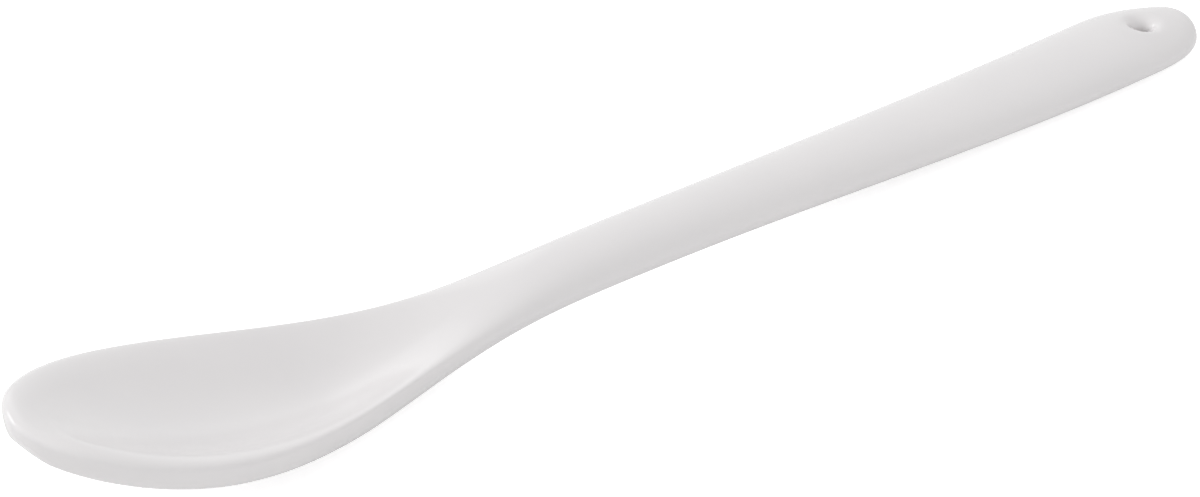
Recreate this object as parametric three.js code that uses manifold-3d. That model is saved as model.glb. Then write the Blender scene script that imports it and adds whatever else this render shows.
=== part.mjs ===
// A small porcelain coffee spoon: the fired body, and the glaze that coats it.
// Millimetres, +Z up. The spoon lies on a table at z = 0, with its bowl towards -X
// and its handle towards +X. The origin is under the middle of its length.

import * as THREE from 'three';
import { LoftGeometry } from 'three/addons/geometries/LoftGeometry.js';
import { mergeVertices } from 'three/addons/utils/BufferGeometryUtils.js';
import Module from 'manifold-3d';

const LENGTH = 135;

// Plan view. Places are measured from the tip of the bowl, or from the end of the handle.
const BOWL_WIDTH = 22.6;
const BOWL_WIDEST_AT = 15.8;
const NECK_WIDTH = 7.46;
const NECK_AT = 70;
const GRIP_WIDTH = 10.1;
const GRIP_FROM_END = 10;

// How quickly the bowl draws in to the neck, and how square the handle ends (2 is an ellipse).
const FLANK_STEEPNESS = 5.45;
const END_SQUARENESS = 2.8;

// Side view. The rim is lowest where the bowl runs out into the neck, and rises to the tip.
const BOWL_WALL = 3.3;
const NECK_THICKNESS = 4.5;
const GRIP_THICKNESS = 4.2;
const END_THICKNESS = 3.2;
const BOWL_DEPTH = 4.5;
const DEEPEST_AT = 29.8;
const HOLLOW_END_AT = 67;
const RIM_LOWEST_AT = 50.5;
const TIP_RISE = 7.95;

// How far in from the edge the rim is rounded over inside the bowl and outside it, and the handle's end.
const INNER_LIP = 3.5;
const OUTER_LIP = 0.9;
const END_ROUNDING = 1.5;

// How much of the grip's underside is flattened, where the spoon rests on it.
const REST_FLAT = 0.05;

// The glaze, and the thin layer under it where glass and body have fused, left out of both.
const GLAZE = 0.25;
const FUSED_LAYER = 0.05;

// The hanging hole. The glaze rounds its edges, laps in, and leaves a band of its wall bare.
const HOLE_DIAMETER = 1.5;
const HOLE_FROM_END = 5.7;
const HOLE_EDGE_RADIUS = 1.3;
const BARE_BAND = 0.3;

// Fineness of the faceted surface, the least detail kept in it, and the small flat that closes each end.
const STATIONS = 52;
const SECTION_POINTS = 32;
const EDGE_CROWDING = 1.5;
const HOLE_SEGMENTS = 24;
const HOLE_EDGE_STEPS = 3;
const LEAST_DETAIL = 0.005;
const END_FACET = 0.05;
const CUTTER_OVERRUN = 2;

const { clamp, inverseLerp, lerp, smoothstep } = THREE.MathUtils;
const gripAt = LENGTH - GRIP_FROM_END;

const wasm = await Module();
wasm.setup();

// Rises from 0 at an edge to 1 at the given reach, as a quarter of an ellipse does.
function roundOff(distance, reach) {
  return Math.sqrt(1 - (1 - Math.min(distance / reach, 1)) ** 2);
}

function halfWidth(x) {
  const bowl = BOWL_WIDTH / 2;
  const neck = NECK_WIDTH / 2;
  const grip = GRIP_WIDTH / 2;
  if (x < BOWL_WIDEST_AT) {
    return bowl * roundOff(x, BOWL_WIDEST_AT);
  }
  if (x < NECK_AT) {
    const along = (x - BOWL_WIDEST_AT) / (NECK_AT - BOWL_WIDEST_AT);
    return lerp(neck, bowl, (1 - along ** 2) ** FLANK_STEEPNESS);
  }
  const past = Math.max((x - gripAt) / GRIP_FROM_END, 0);
  return lerp(neck, grip, smoothstep(x, NECK_AT, gripAt)) * Math.sqrt(1 - past ** END_SQUARENESS);
}

// Half of the thickness along the middle of the wall, before the ends are rounded.
function halfThickness(x) {
  const front = lerp(BOWL_WALL, NECK_THICKNESS, smoothstep(x, BOWL_WIDEST_AT, NECK_AT));
  const handle = lerp(front, GRIP_THICKNESS, smoothstep(x, NECK_AT, gripAt));
  return lerp(handle, END_THICKNESS, smoothstep(x, gripAt, LENGTH)) / 2;
}

// How far the middle of a section lies below its side edges.
function hollow(x) {
  if (x < DEEPEST_AT) {
    return BOWL_DEPTH * (1 - (1 - x / DEEPEST_AT) ** 2);
  }
  return BOWL_DEPTH * (1 - smoothstep(x, DEEPEST_AT, HOLLOW_END_AT)) ** 2;
}

// Height of the side edges. The deepest section of the bowl and the grip come down to the table.
function edgeHeight(x) {
  const rise = (at) => TIP_RISE * (1 - Math.min(at / RIM_LOWEST_AT, 1)) ** 2;
  const lowest = BOWL_DEPTH + halfThickness(DEEPEST_AT) - rise(DEEPEST_AT);
  const resting = halfThickness(x) - REST_FLAT;
  return lerp(lowest, resting, smoothstep(x, RIM_LOWEST_AT, gripAt)) + rise(x);
}

// Height of the surface at a place in plan: a dished wall with a round lip in the bowl, an oval on the
// handle, both rounded off at the ends. The side is 1 for the upper surface and -1 for the underside.
function surfaceHeight(x, y, side) {
  const width = halfWidth(x);
  const across = Math.abs(y) / width;
  const lip = side > 0 ? INNER_LIP : OUTER_LIP;
  const reach = Math.min(lerp(lip, width, smoothstep(x, BOWL_WIDEST_AT, HOLLOW_END_AT)), width);
  const ends = roundOff(x, lip) * roundOff(LENGTH - x, END_ROUNDING);
  const skin = halfThickness(x) * ends * roundOff(width * (1 - across), reach);
  return edgeHeight(x) - hollow(x) * (1 - across ** 2) + side * skin;
}

// One closed section, with its points crowded towards the edges.
function section(station) {
  const x = clamp(station, END_FACET, LENGTH - END_FACET);
  const points = [];
  for (let i = 0; i < SECTION_POINTS; i++) {
    const angle = (i / SECTION_POINTS) * 2 * Math.PI;
    const inward = (1 - Math.abs(Math.cos(angle))) ** EDGE_CROWDING;
    const y = Math.sign(Math.cos(angle)) * (1 - inward) * halfWidth(x);
    const z = surfaceHeight(x, y, Math.sign(Math.sin(angle)));
    points.push(new THREE.Vector3(station - LENGTH / 2, y, z));
  }
  return points;
}

// Sections crowd towards both ends, where the outline turns fastest.
const sections = [];
for (let i = 0; i < STATIONS; i++) {
  const share = (1 - Math.cos((i / (STATIONS - 1)) * Math.PI)) / 2;
  sections.push(section(LENGTH * share));
}
const surfaceNormals = new LoftGeometry(sections).getAttribute('normal');

// The way out of the surface at a point of a section. The two end sections face along X.
function outward(row, column) {
  if (row === 0) {
    return new THREE.Vector3(-1, 0, 0);
  }
  if (row === STATIONS - 1) {
    return new THREE.Vector3(1, 0, 0);
  }
  return new THREE.Vector3().fromBufferAttribute(surfaceNormals, row * (SECTION_POINTS + 1) + column);
}

// The same sections, sunk evenly below the surface of the spoon.
function sunkSections(depth) {
  return sections.map((points, row) => points.map((point, column) => (
    point.clone().addScaledVector(outward(row, column), -depth)
  )));
}

// A closed solid from a geometry, with shared points merged and empty triangles dropped.
function solid(geometry) {
  const bare = new THREE.BufferGeometry();
  bare.setAttribute('position', geometry.getAttribute('position'));
  bare.setIndex(geometry.getIndex());
  const merged = mergeVertices(bare);
  const index = merged.getIndex().array;
  const triangles = [];
  for (let i = 0; i < index.length; i += 3) {
    const [a, b, c] = index.slice(i, i + 3);
    if (a !== b && b !== c && c !== a) {
      triangles.push(a, b, c);
    }
  }
  return new wasm.Manifold(new wasm.Mesh({
    numProp: 3,
    vertProperties: merged.getAttribute('position').array,
    triVerts: new Uint32Array(triangles),
  }));
}

const holeX = LENGTH - HOLE_FROM_END;
const holeTop = surfaceHeight(holeX, 0, 1);
const holeBottom = surfaceHeight(holeX, 0, -1);
const coating = GLAZE + FUSED_LAYER;

// How deep the bare band lies below each face. The round edges stop where it begins.
const bandDepth = (holeTop - holeBottom - BARE_BAND) / 2;
const roundEdge = Math.min(HOLE_EDGE_RADIUS + coating, bandDepth);

// Turns a profile of radius and height about the axis of the hole, and drapes it over the curved handle.
function turnedAboutHole(profile) {
  const geometry = new THREE.LatheGeometry(profile, HOLE_SEGMENTS, Math.PI / HOLE_SEGMENTS);
  geometry.rotateX(Math.PI / 2);
  const points = geometry.getAttribute('position');
  for (let i = 0; i < points.count; i++) {
    const x = holeX + points.getX(i);
    const y = points.getY(i);
    const z = points.getZ(i);
    const liftBelow = surfaceHeight(x, y, -1) - holeBottom;
    const liftAbove = surfaceHeight(x, y, 1) - holeTop;
    const share = clamp(inverseLerp(holeBottom, holeTop, z), 0, 1);
    points.setXYZ(i, x - LENGTH / 2, y, z + lerp(liftBelow, liftAbove, share));
  }
  return solid(geometry);
}

// What the hole takes away at a depth below the surface: a bore that opens in round edges. Past them the
// cut runs on at the slope of the last facet, to leave the surface cleanly.
function holeCutter(depth) {
  const bore = HOLE_DIAMETER / 2 + depth;
  const edge = roundEdge - depth;
  const mouth = bore + edge;
  const low = holeBottom + depth;
  const high = holeTop - depth;
  const run = edge / 2;
  const leave = run * Math.tan(Math.PI / 4 / HOLE_EDGE_STEPS);
  const profile = new THREE.Path();
  profile.moveTo(0, low - CUTTER_OVERRUN);
  profile.lineTo(mouth + run, low - CUTTER_OVERRUN);
  profile.lineTo(mouth + run, low - leave);
  profile.lineTo(mouth, low);
  profile.absarc(mouth, low + edge, edge, -Math.PI / 2, -Math.PI, true);
  profile.lineTo(bore, high - edge);
  profile.absarc(mouth, high - edge, edge, Math.PI, Math.PI / 2, true);
  profile.lineTo(mouth + run, high + leave);
  profile.lineTo(mouth + run, high + CUTTER_OVERRUN);
  profile.lineTo(0, high + CUTTER_OVERRUN);
  return turnedAboutHole(profile.getPoints(HOLE_EDGE_STEPS));
}

// The bare stretch of the hole, where the spoon hung on a rod while its glaze was fired.
function bareBore() {
  const reach = HOLE_DIAMETER / 2 + coating;
  const profile = new THREE.Path();
  profile.moveTo(0, holeBottom + bandDepth);
  profile.lineTo(reach, holeBottom + bandDepth);
  profile.lineTo(reach, holeTop - bandDepth);
  profile.lineTo(0, holeTop - bandDepth);
  return turnedAboutHole(profile.getPoints());
}

// What lies under the table, up to a depth above it: the heel of the bowl and the grip are flat there.
function belowTable(depth) {
  const slab = new THREE.BoxGeometry(LENGTH, BOWL_WIDTH, CUTTER_OVERRUN);
  slab.translate(0, 0, depth - CUTTER_OVERRUN / 2);
  return solid(slab);
}

// The whole spoon at a depth below its surface: 0 is the glazed outside.
function spoonAtDepth(depth) {
  const loft = new LoftGeometry(sunkSections(depth), { capStart: true, capEnd: true });
  return solid(loft).subtract(holeCutter(depth)).subtract(belowTable(depth));
}

function piece(name, shape, material) {
  const { vertProperties, triVerts } = shape.simplify(LEAST_DETAIL).getMesh();
  const geometry = new THREE.BufferGeometry();
  geometry.setAttribute('position', new THREE.BufferAttribute(vertProperties, 3));
  geometry.setIndex(new THREE.BufferAttribute(triVerts, 1));
  geometry.computeVertexNormals();
  const mesh = new THREE.Mesh(geometry, material);
  mesh.name = name;
  return mesh;
}

const biscuit = new THREE.MeshStandardMaterial({ color: 0xf2eee8, roughness: 0.8, metalness: 0 });
const gloss = new THREE.MeshStandardMaterial({ color: 0xefedec, roughness: 0.12, metalness: 0 });

const glaze = spoonAtDepth(0).subtract(spoonAtDepth(GLAZE)).subtract(bareBore());

const spoon = new THREE.Group();
spoon.add(piece('porcelain_body', spoonAtDepth(coating), biscuit));
spoon.add(piece('glaze_coat', glaze, gloss));

export default spoon;
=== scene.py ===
import math

import bmesh
import bpy
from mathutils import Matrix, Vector


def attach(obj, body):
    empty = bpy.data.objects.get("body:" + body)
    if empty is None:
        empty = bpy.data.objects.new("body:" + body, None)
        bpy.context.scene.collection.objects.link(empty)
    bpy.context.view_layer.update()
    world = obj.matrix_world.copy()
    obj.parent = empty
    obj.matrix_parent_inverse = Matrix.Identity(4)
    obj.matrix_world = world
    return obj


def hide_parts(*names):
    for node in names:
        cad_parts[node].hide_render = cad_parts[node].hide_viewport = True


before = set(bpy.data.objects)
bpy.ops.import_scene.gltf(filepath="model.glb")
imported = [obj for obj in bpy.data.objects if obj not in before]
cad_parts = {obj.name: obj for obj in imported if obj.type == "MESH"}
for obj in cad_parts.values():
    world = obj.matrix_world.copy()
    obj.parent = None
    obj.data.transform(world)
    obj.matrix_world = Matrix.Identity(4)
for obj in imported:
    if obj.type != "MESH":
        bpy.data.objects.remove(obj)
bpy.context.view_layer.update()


# The body is the spoon itself: white porcelain, cast in one piece from the tip of the bowl to the end
# of the handle, pierced for hanging and fired once to biscuit. It shows only in the middle of the hole,
# where the spoon hung on a rod while its glaze was fired.
length = 0.135
bowl_half, bowl_widest_at = 0.0113, 0.0158
neck_half, neck_at = 0.00373, 0.07
grip_half, grip_at = 0.00505, 0.125
flank_steepness, end_squareness = 5.45, 2.8
bowl_wall, neck_thickness = 0.0033, 0.0045
grip_thickness, end_thickness = 0.0042, 0.0032
bowl_depth, deepest_at, hollow_end_at = 0.0045, 0.0298, 0.067
rim_lowest_at, tip_rise = 0.0505, 0.00795
inner_lip, outer_lip, end_rounding = 0.0035, 0.0009, 0.0015
rest_flat = 0.00005
hole_at, hole_radius, hole_edge = 0.1293, 0.00075, 0.0016
hole_mouth = hole_radius + hole_edge
glaze_thickness, fused_layer = 0.00025, 0.00005

# How finely the skin is drawn along the spoon, across it and round the edges of its hole, and how near
# to each other two points are one.
tip_rows, shaft_rows, hole_rows, end_rows = 28, 112, 28, 18
section_steps, side_crowding = 56, 1.15
edge_steps = 14
quarter_turn = math.pi / 2
hairline, same_point = 1e-7, 1e-8


def blend(start, end, share):
    return start + (end - start) * share


def ease(x, start, end):
    share = min(max((x - start) / (end - start), 0), 1)
    return share * share * (3 - 2 * share)


def round_off(distance, reach):
    """Rises from 0 at an edge to 1 at the reach, as a quarter of an ellipse does."""
    return math.sqrt(1 - (1 - min(distance / reach, 1)) ** 2)


def half_width(x):
    if x < bowl_widest_at:
        return bowl_half * round_off(x, bowl_widest_at)
    if x < neck_at:
        along = (x - bowl_widest_at) / (neck_at - bowl_widest_at)
        return blend(neck_half, bowl_half, (1 - along**2) ** flank_steepness)
    past = min(max((x - grip_at) / (length - grip_at), 0), 1)
    return blend(neck_half, grip_half, ease(x, neck_at, grip_at)) * math.sqrt(1 - past**end_squareness)


def half_thickness(x):
    front = blend(bowl_wall, neck_thickness, ease(x, bowl_widest_at, neck_at))
    handle = blend(front, grip_thickness, ease(x, neck_at, grip_at))
    return blend(handle, end_thickness, ease(x, grip_at, length)) / 2


def hollow(x):
    """How far the middle of a section lies below its side edges."""
    if x < deepest_at:
        return bowl_depth * (1 - (1 - x / deepest_at) ** 2)
    return bowl_depth * (1 - ease(x, deepest_at, hollow_end_at)) ** 2


def rim_rise(x):
    return tip_rise * (1 - min(x / rim_lowest_at, 1)) ** 2


def edge_height(x):
    """Height of the side edges, with the deepest part of the bowl and the grip on the table."""
    lowest = bowl_depth + half_thickness(deepest_at) - rim_rise(deepest_at)
    resting = half_thickness(x) - rest_flat
    return blend(lowest, resting, ease(x, rim_lowest_at, grip_at)) + rim_rise(x)


def surface_height(x, y, side):
    """Height of the upper surface, where the side is 1, or of the underside, where it is -1."""
    width = half_width(x)
    across = min(abs(y) / width, 1) if width else 0
    lip = inner_lip if side > 0 else outer_lip
    reach = min(blend(lip, width, ease(x, bowl_widest_at, hollow_end_at)), width)
    ends = round_off(x, lip) * round_off(length - x, end_rounding)
    skin = half_thickness(x) * ends * (round_off(width * (1 - across), reach) if reach else 0)
    return max(edge_height(x) - hollow(x) * (1 - across**2) + side * skin, 0)


def rows_along_the_spoon():
    """Places along the spoon, closer together round the tip, the hole and the end."""
    tip = [bowl_widest_at * (1 - math.cos(quarter_turn * i / tip_rows)) for i in range(tip_rows)]
    shaft = [blend(bowl_widest_at, hole_at - hole_mouth, i / shaft_rows) for i in range(shaft_rows)]
    hole = [hole_at - hole_mouth * math.cos(math.pi * i / hole_rows) for i in range(hole_rows)]
    behind_hole = length - hole_at - hole_mouth
    end = [
        length - behind_hole * (1 - math.sin(quarter_turn * i / end_rows))
        for i in range(end_rows + 1)
    ]
    return tip + shaft + hole + end


def grown_row(mesh, row):
    """Extrudes a row of edges, and returns its new points and edges."""
    grown = bmesh.ops.extrude_edge_only(mesh, edges=row)["geom"]
    points = {g for g in grown if isinstance(g, bmesh.types.BMVert)}
    edges = [g for g in grown if isinstance(g, bmesh.types.BMEdge) and set(g.verts) <= points]
    return points, edges


def open_skin():
    """The spoon's outside, open at the hole: half a section drawn along its length, then mirrored."""
    mesh = bmesh.new()
    turn = mesh.verts.layers.float.new("turn")
    corner = mesh.verts.new()
    corner[turn] = 1
    points = [corner]
    for i in range(1, section_steps + 1):
        corner = bmesh.ops.extrude_vert_indiv(mesh, verts=[corner])["verts"][0]
        corner[turn] = 1 - 2 * i / section_steps
        points.append(corner)
    row = mesh.edges[:]
    stations = rows_along_the_spoon()
    for x in stations:
        if x != stations[0]:
            points, row = grown_row(mesh, row)
        beside_hole = math.sqrt(max(hole_mouth**2 - (x - hole_at) ** 2, 0))
        if beside_hole < hairline:
            beside_hole = 0
        for point in points:
            inward = (1 - math.cos(point[turn] * quarter_turn)) ** side_crowding
            y = blend(half_width(x), beside_hole, inward)
            point.co = (x - length / 2, y, surface_height(x, y, 1 if point[turn] > 0 else -1))
    everything = mesh.verts[:] + mesh.edges[:] + mesh.faces[:]
    bmesh.ops.mirror(mesh, geom=everything, axis="Y", merge_dist=hairline)
    bmesh.ops.remove_doubles(mesh, verts=mesh.verts[:], dist=same_point)
    return mesh, turn


def turned_in_mouth(mesh, turn, side, depths):
    """Draws one side's hole edge round and down into the bore, and returns the last loop."""
    row = [e for e in mesh.edges if e.is_boundary and all(v[turn] * side > 0 for v in e.verts)]
    for radius, drop in depths:
        points, row = grown_row(mesh, row)
        for point in points:
            around = math.atan2(point.co.y, point.co.x + length / 2 - hole_at)
            x = hole_at + radius * math.cos(around)
            y = radius * math.sin(around)
            point.co = (x - length / 2, y, surface_height(x, y, side) - side * drop)
    return row


round_mouth = [
    (
        hole_radius + hole_edge * (1 - math.sin(quarter_turn * i / edge_steps)),
        hole_edge * (1 - math.cos(quarter_turn * i / edge_steps)),
    )
    for i in range(1, edge_steps + 1)
]

casting, turn = open_skin()
mouths = []
for side in (1, -1):
    mouths += turned_in_mouth(casting, turn, side, round_mouth)
bmesh.ops.recalc_face_normals(casting, faces=casting.faces[:])
casting.normal_update()
under_glaze = [v.co - v.normal * (glaze_thickness + fused_layer) for v in casting.verts]
for point, sunk in zip(casting.verts, under_glaze):
    point.co = sunk
bmesh.ops.bridge_loops(casting, edges=mouths)
bmesh.ops.recalc_face_normals(casting, faces=casting.faces[:])
for face in casting.faces:
    face.smooth = True
body_mesh = bpy.data.meshes.new("porcelain_casting")
casting.to_mesh(body_mesh)
casting.free()
body = bpy.data.objects.new("porcelain_casting", body_mesh)
bpy.context.scene.collection.objects.link(body)

biscuit = bpy.data.materials.new("bare_biscuit")
biscuit.use_nodes = True
nodes, links = biscuit.node_tree.nodes, biscuit.node_tree.links
shader = nodes["Principled BSDF"]
shader.inputs["Roughness"].default_value = 0.82
place = nodes.new("ShaderNodeTexCoord")
grain = nodes.new("ShaderNodeTexNoise")
grain.inputs["Scale"].default_value = 6500
grain.inputs["Detail"].default_value = 4
links.new(place.outputs["Object"], grain.inputs["Vector"])
tint = nodes.new("ShaderNodeValToRGB")
tint.color_ramp.elements[0].color = (0.86, 0.83, 0.79, 1)
tint.color_ramp.elements[1].color = (0.95, 0.93, 0.9, 1)
links.new(grain.outputs["Fac"], tint.inputs["Fac"])
links.new(tint.outputs["Color"], shader.inputs["Base Color"])
tooth = nodes.new("ShaderNodeBump")
tooth.inputs["Strength"].default_value = 0.35
tooth.inputs["Distance"].default_value = 0.00004
links.new(grain.outputs["Fac"], tooth.inputs["Height"])
links.new(tooth.outputs["Normal"], shader.inputs["Normal"])
body_mesh.materials.append(biscuit)
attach(body, "root")
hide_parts("porcelain_body")


# The glaze is a skin of clear white glass a quarter of a millimetre thick, poured on and fired until it
# flowed. It softens the rim, rounds the edges of the hole and runs into it from both sides, as far as
# the bare band in the middle.
bare_band, lap_steps = 0.0003, 3
coat, turn = open_skin()
handle_at_hole = surface_height(hole_at, 0, 1) - surface_height(hole_at, 0, -1)
band_depth = (handle_at_hole - bare_band) / 2
lap = [
    (hole_radius, blend(hole_edge, band_depth, i / lap_steps))
    for i in range(1, lap_steps + 1)
]
for side in (1, -1):
    turned_in_mouth(coat, turn, side, round_mouth + lap)
bmesh.ops.recalc_face_normals(coat, faces=coat.faces[:])
for face in coat.faces:
    face.smooth = True
for edge in coat.edges:
    edge.smooth = not edge.is_boundary
glaze_mesh = bpy.data.meshes.new("glaze_skin")
coat.to_mesh(glaze_mesh)
coat.free()
glaze = bpy.data.objects.new("glaze_skin", glaze_mesh)
bpy.context.scene.collection.objects.link(glaze)
thickness = glaze.modifiers.new("thickness", "SOLIDIFY")
thickness.thickness = glaze_thickness
thickness.offset = -1
thickness.use_even_offset = True

white = bpy.data.materials.new("white_gloss_glaze")
white.use_nodes = True
nodes, links = white.node_tree.nodes, white.node_tree.links
shader = nodes["Principled BSDF"]
shader.inputs["IOR"].default_value = 1.5
place = nodes.new("ShaderNodeTexCoord")

# How thickly the glass flowed: soft clouds a centimetre across, a little cooler where it is deeper.
clouds = nodes.new("ShaderNodeTexNoise")
clouds.inputs["Scale"].default_value = 90
clouds.inputs["Detail"].default_value = 3
links.new(place.outputs["Object"], clouds.inputs["Vector"])
tint = nodes.new("ShaderNodeValToRGB")
tint.color_ramp.elements[0].position = 0.3
tint.color_ramp.elements[0].color = (0.89, 0.871, 0.876, 1)
tint.color_ramp.elements[1].position = 0.7
tint.color_ramp.elements[1].color = (0.91, 0.889, 0.891, 1)
links.new(clouds.outputs["Fac"], tint.inputs["Fac"])
links.new(tint.outputs["Color"], shader.inputs["Base Color"])
gloss = nodes.new("ShaderNodeMapRange")
gloss.inputs["To Min"].default_value = 0.1
gloss.inputs["To Max"].default_value = 0.17
links.new(clouds.outputs["Fac"], gloss.inputs["Value"])
links.new(gloss.outputs["Result"], shader.inputs["Roughness"])

# The surface itself: slow waves, where the glass set before it was quite level.
waves = nodes.new("ShaderNodeTexNoise")
waves.inputs["Scale"].default_value = 260
waves.inputs["Detail"].default_value = 2
links.new(place.outputs["Object"], waves.inputs["Vector"])
level = nodes.new("ShaderNodeBump")
level.inputs["Strength"].default_value = 0.12
level.inputs["Distance"].default_value = 0.00005
links.new(waves.outputs["Fac"], level.inputs["Height"])
links.new(level.outputs["Normal"], shader.inputs["Normal"])
glaze_mesh.materials.append(white)
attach(glaze, "root")
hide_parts("glaze_coat")


# The table is a plain sheet of white paper, larger than any view of it and clear from below. A glow of
# its own lifts it to white in view, and a little in the gloss, and leaves the spoon's shadow on it.
table_half = 4
lift_in_gloss, lift_in_view = 0.22, 0.4
table = bmesh.new()
bmesh.ops.create_grid(table, x_segments=2, y_segments=2, size=table_half)
table_mesh = bpy.data.meshes.new("white_table")
table.to_mesh(table_mesh)
table.free()
floor = bpy.data.objects.new("white_table", table_mesh)
bpy.context.scene.collection.objects.link(floor)
paper = bpy.data.materials.new("white_paper")
paper.use_nodes = True
nodes, links = paper.node_tree.nodes, paper.node_tree.links
shader = nodes["Principled BSDF"]
shader.inputs["Base Color"].default_value = (0.9, 0.9, 0.9, 1)
shader.inputs["Roughness"].default_value = 0.9
shader.inputs["Specular IOR Level"].default_value = 0


def seen_or_mirrored(nodes, links):
    """1 where a surface is looked at, mirrored or seen through glass, and 0 where it only gives light."""
    rays = nodes.new("ShaderNodeLightPath")
    mirrored = nodes.new("ShaderNodeMath")
    mirrored.operation = "MAXIMUM"
    links.new(rays.outputs["Is Glossy Ray"], mirrored.inputs[0])
    links.new(rays.outputs["Is Transmission Ray"], mirrored.inputs[1])
    shown = nodes.new("ShaderNodeMath")
    shown.operation = "MAXIMUM"
    links.new(rays.outputs["Is Camera Ray"], shown.inputs[0])
    links.new(mirrored.outputs["Value"], shown.inputs[1])
    return shown.outputs["Value"]


white_in_gloss = nodes.new("ShaderNodeMath")
white_in_gloss.operation = "MULTIPLY"
white_in_gloss.inputs[1].default_value = lift_in_gloss
links.new(seen_or_mirrored(nodes, links), white_in_gloss.inputs[0])
white_in_view = nodes.new("ShaderNodeMath")
white_in_view.operation = "MULTIPLY_ADD"
white_in_view.inputs[1].default_value = lift_in_view
links.new(nodes.new("ShaderNodeLightPath").outputs["Is Camera Ray"], white_in_view.inputs[0])
links.new(white_in_gloss.outputs["Value"], white_in_view.inputs[2])
shader.inputs["Emission Color"].default_value = (1, 1, 1, 1)
links.new(white_in_view.outputs["Value"], shader.inputs["Emission Strength"])
facing = nodes.new("ShaderNodeNewGeometry")
from_below = nodes.new("ShaderNodeBsdfTransparent")
sheet = nodes.new("ShaderNodeMixShader")
links.new(facing.outputs["Backfacing"], sheet.inputs["Fac"])
links.new(shader.outputs["BSDF"], sheet.inputs[1])
links.new(from_below.outputs["BSDF"], sheet.inputs[2])
links.new(sheet.outputs["Shader"], nodes["Material Output"].inputs["Surface"])
table_mesh.materials.append(paper)


# A white room, with a soft box high on the left and a weaker one low in front. The gloss doesn't show
# them. It shows the room, and three white cards that stand behind the spoon and give no other light.
room = bpy.data.worlds.new("white_room")
bpy.context.scene.world = room
room.use_nodes = True
nodes, links = room.node_tree.nodes, room.node_tree.links
nodes["Background"].inputs["Color"].default_value = (1, 1, 1, 1)
nodes["Background"].inputs["Strength"].default_value = 0.58
backdrop = nodes.new("ShaderNodeBackground")
backdrop.inputs["Color"].default_value = (1, 1, 1, 1)
backdrop.inputs["Strength"].default_value = 1
chosen = nodes.new("ShaderNodeMixShader")
links.new(seen_or_mirrored(nodes, links), chosen.inputs["Fac"])
links.new(nodes["Background"].outputs["Background"], chosen.inputs[1])
links.new(backdrop.outputs["Background"], chosen.inputs[2])
links.new(chosen.outputs["Shader"], nodes["World Output"].inputs["Surface"])

lamp_distance = 1.2


def lamp_towards(name, direction, power, shape, width, height):
    """An area lamp that hangs in a direction from the spoon and faces it."""
    lamp = bpy.data.lights.new(name, "AREA")
    lamp.shape = shape
    lamp.size, lamp.size_y = width, height
    lamp.energy = power
    holder = bpy.data.objects.new(name, lamp)
    holder.location = Vector(direction).normalized() * lamp_distance
    holder.rotation_euler = (-Vector(direction)).to_track_quat("-Z", "Y").to_euler()
    holder.visible_camera = False
    bpy.context.scene.collection.objects.link(holder)
    return holder


def soft_box(name, direction, power, across=1.3):
    lamp_towards(name, direction, power, "DISK", across, across).visible_glossy = False


def card(name, direction, power, width, height):
    lamp_towards(name, direction, power, "RECTANGLE", width, height).visible_diffuse = False


soft_box("soft_box_left", (-0.433, 0.604, 0.669), power=6.4)
soft_box("soft_box_front", (0.096, -0.973, 0.208), power=2.2)
card("card_behind", (0.371, 0.857, 0.358), power=0.2, width=0.34, height=0.69)
card("card_left", (-0.618, 0.774, 0.139), power=0.3, width=0.5, height=0.35)

# This one gives the thin glint along the rim of the tip.
card("card_tip", (-0.2, 0.88, 0.4), power=1.2, width=0.5, height=0.25)


# The camera stands in front and to the left of the bowl, a third of the way up to overhead. A long lens
# takes in the whole spoon from far off, so it hardly narrows with distance.
view = bpy.data.cameras.new("photo_view")
view.lens = 267.02
view.sensor_width = 36
view.clip_start = 0.05
view.clip_end = 20
camera = bpy.data.objects.new("photo_view", view)
camera.location = (-0.426988, -0.515446, 0.438683)
looking = Vector((0.532233, 0.648101, -0.544696))
camera.rotation_euler = looking.to_track_quat("-Z", "Y").to_euler()
bpy.context.scene.collection.objects.link(camera)
bpy.context.scene.camera = camera
bpy.context.scene.view_settings.view_transform = "Standard"
